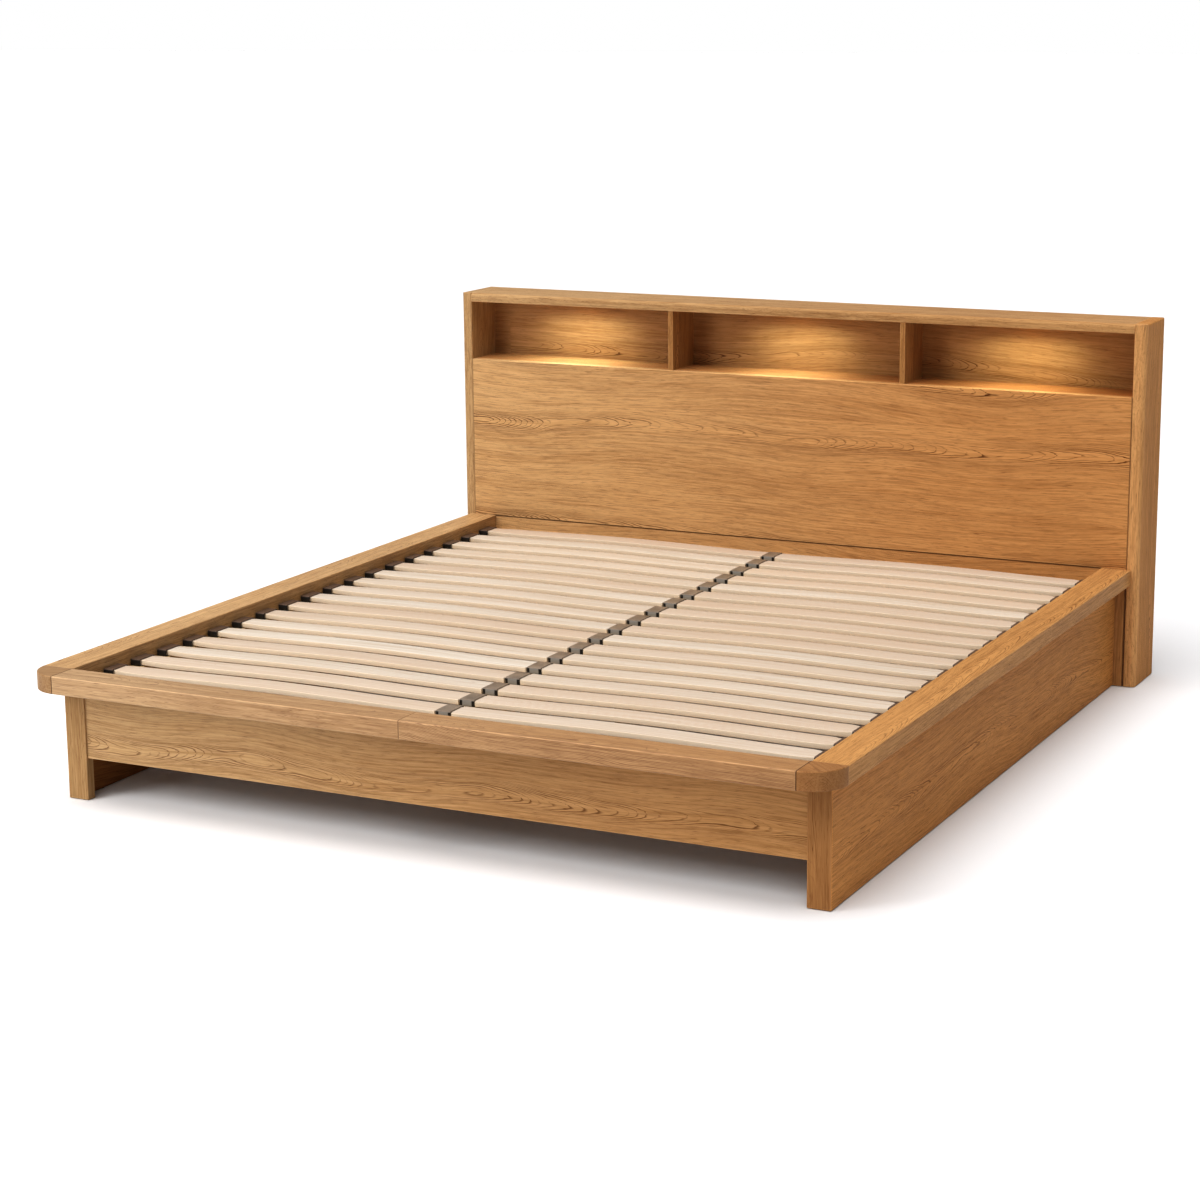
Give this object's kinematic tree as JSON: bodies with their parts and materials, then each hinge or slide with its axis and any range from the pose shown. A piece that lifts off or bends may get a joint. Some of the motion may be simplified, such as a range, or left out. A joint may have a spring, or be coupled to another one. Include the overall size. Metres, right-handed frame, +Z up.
{
  "type": "platform bed frame",
  "caption": "Low oak platform bed with a wide overhanging rim, sprung slat base and a storage headboard with lit open niches.",
  "frame": {"origin": "middle of the bed's footprint, on the floor", "axes": "+X to the right seen from the foot, +Y from the foot towards the headboard, +Z up"},
  "size_m": [2.01, 2.26, 0.96],
  "materials": {
    "oak": "oiled, satin, straight grain",
    "oak_corner": "oiled, satin, slanting grain",
    "inner_wood": "planed, unfinished",
    "slat_wood": "smooth, clear lacquer",
    "holder_plastic": "fine texture",
    "cap_plastic": "fine texture",
    "foot_plastic": "moulded",
    "lamp_plastic": "moulded, white",
    "diffuser": "frosted",
    "circuit_board": "solder mask",
    "wire_sheath": "smooth",
    "brass": "turned",
    "zinc_steel": "zinc plated",
    "felt": "pressed felt"
  },
  "bodies": {
    "bed": {"headboard_side_left": "oak", "headboard_side_right": "oak", "headboard_top": "oak", "niche_shelf": "oak", "niche_divider_left": "oak", "niche_divider_right": "oak", "headboard_front_panel": "oak", "head_rail": "oak", "headboard_back_panel": "oak", "headboard_post_left": "oak", "headboard_post_right": "oak", "headboard_stiffener": "inner_wood", "headboard_stretcher": "inner_wood", "headboard_dowels": "inner_wood", "light_bodies": "lamp_plastic", "light_diffusers": "diffuser", "light_boards": "circuit_board", "light_driver": "lamp_plastic", "light_wires": "wire_sheath", "wire_clips": "lamp_plastic", "side_board_left": "oak", "side_board_right": "oak", "leg_board_left": "oak", "leg_board_right": "oak", "foot_rail": "oak", "rim_side_left": "oak", "rim_side_right": "oak", "rim_foot_left": "oak", "rim_foot_right": "oak", "rim_corner_left": "oak_corner", "rim_corner_right": "oak_corner", "rim_dowels": "inner_wood", "rim_plates": "zinc_steel", "corner_post_left": "inner_wood", "corner_post_right": "inner_wood", "slat_bearer_left": "inner_wood", "slat_bearer_right": "inner_wood", "centre_beam": "inner_wood", "beam_hangers": "zinc_steel", "centre_leg_1": "inner_wood", "centre_leg_2": "inner_wood", "centre_leg_3": "inner_wood", "level_inserts": "brass", "slats_left": "slat_wood", "slats_right": "slat_wood", "slat_holders_left": "holder_plastic", "slat_holders_right": "holder_plastic", "slat_caps": "cap_plastic", "corner_brackets": "zinc_steel", "screws": "zinc_steel", "felt_pads": "felt"},
    "levelling_foot_1": {"level_foot_1": "foot_plastic"},
    "levelling_foot_2": {"level_foot_2": "foot_plastic"},
    "levelling_foot_3": {"level_foot_3": "foot_plastic"}
  },
  "joints": [
    {"name": "level_foot_1_screw", "type": "slide", "parent": "bed", "child": "levelling_foot_1", "axis": [0, 0, 1], "range_m": [0, 0.011]},
    {"name": "level_foot_2_screw", "type": "slide", "parent": "bed", "child": "levelling_foot_2", "axis": [0, 0, 1], "range_m": [0, 0.011]},
    {"name": "level_foot_3_screw", "type": "slide", "parent": "bed", "child": "levelling_foot_3", "axis": [0, 0, 1], "range_m": [0, 0.011]}
  ]
}
